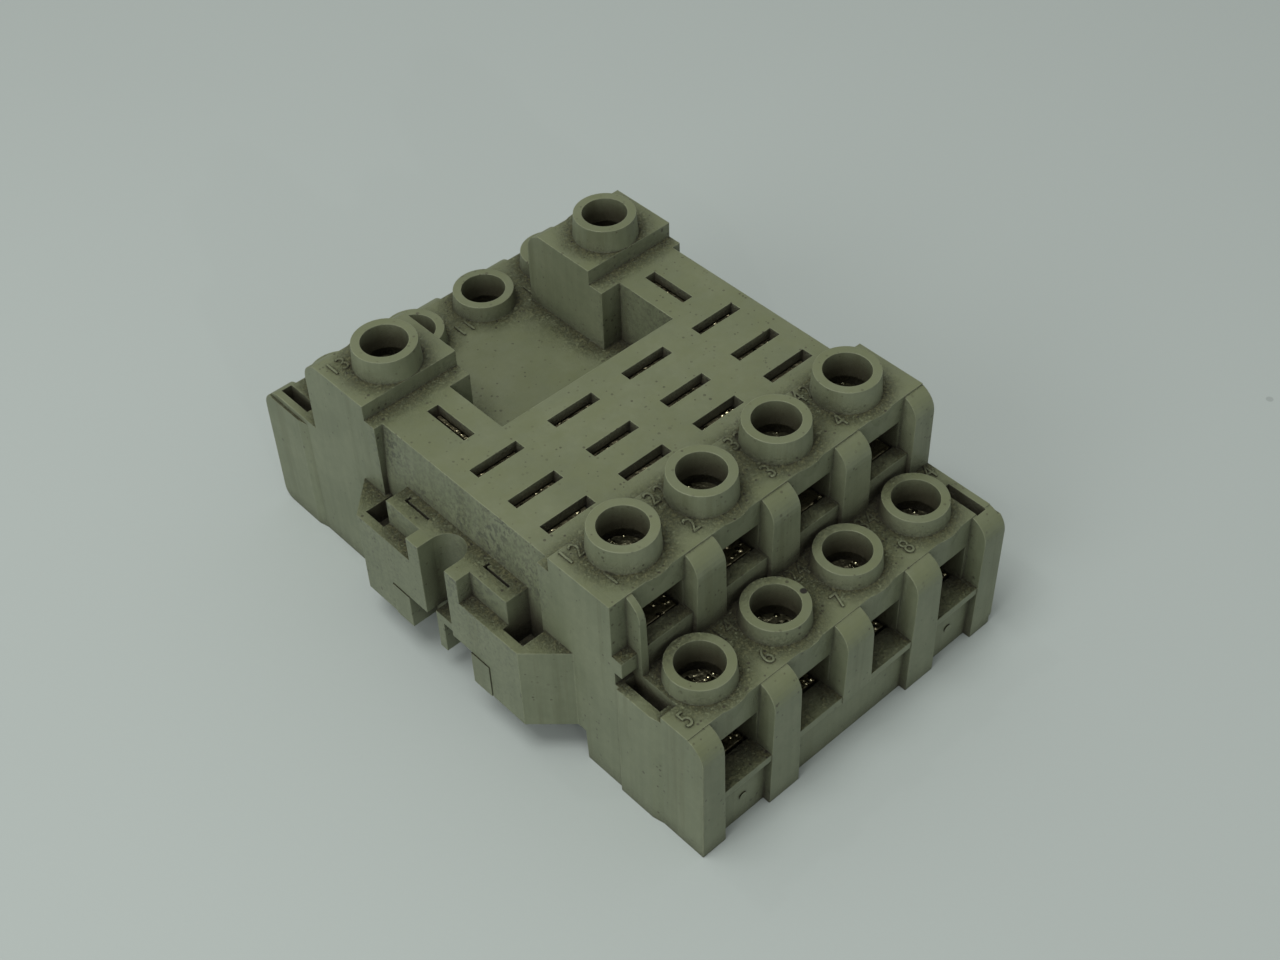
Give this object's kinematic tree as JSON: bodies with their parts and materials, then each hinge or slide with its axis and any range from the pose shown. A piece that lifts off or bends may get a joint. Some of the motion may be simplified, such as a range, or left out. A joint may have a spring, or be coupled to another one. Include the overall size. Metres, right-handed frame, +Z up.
{
  "type": "relay socket",
  "caption": "Moulded screw-terminal socket for a plug-in relay: stepped end blocks with round collars, blade slots in the deck, side ears and a rail latch.",
  "frame": {"origin": "middle of the footprint, on the surface the socket stands on", "axes": "+X to the right across the terminal columns, +Y along the body to the end with the two coil towers, +Z up out of the deck"},
  "size_m": [0.05, 0.0682, 0.0293],
  "materials": {
    "moulding": "matte moulded plastic, khaki grey-green, dusty",
    "cover": "matte moulded plastic of the same colour",
    "latch": "matte moulded plastic, a little darker",
    "contact": "dull rolled brass strip",
    "clamp": "nickel-plated steel, bright on the edges",
    "screw": "dull plated screw, a little tarnished"
  },
  "bodies": {
    "socket": {"housing": "moulding", "base_cover": "cover", "contact_1": "contact", "contact_2": "contact", "contact_3": "contact", "contact_4": "contact", "contact_5": "contact", "contact_6": "contact", "contact_7": "contact", "contact_8": "contact", "contact_9": "contact", "contact_10": "contact", "contact_11": "contact", "contact_12": "contact", "contact_13": "contact", "contact_14": "contact", "clamp_plate_1": "clamp", "clamp_plate_2": "clamp", "clamp_plate_3": "clamp", "clamp_plate_4": "clamp", "clamp_plate_5": "clamp", "clamp_plate_6": "clamp", "clamp_plate_7": "clamp", "clamp_plate_8": "clamp", "clamp_plate_9": "clamp", "clamp_plate_10": "clamp", "clamp_plate_11": "clamp", "clamp_plate_12": "clamp", "clamp_plate_13": "clamp", "clamp_plate_14": "clamp", "terminal_screw_1": "screw", "terminal_screw_2": "screw", "terminal_screw_3": "screw", "terminal_screw_4": "screw", "terminal_screw_5": "screw", "terminal_screw_6": "screw", "terminal_screw_7": "screw", "terminal_screw_8": "screw", "terminal_screw_9": "screw", "terminal_screw_10": "screw", "terminal_screw_11": "screw", "terminal_screw_12": "screw", "terminal_screw_13": "screw", "terminal_screw_14": "screw"},
    "latch": {"rail_latch": "latch"}
  },
  "joints": [
    {"name": "latch_slide", "type": "slide", "parent": "socket", "child": "latch", "axis": [0, 1, 0], "range_m": [0, 0.002], "stiffness_N_per_m": 1500, "springref_m": -0.001}
  ]
}
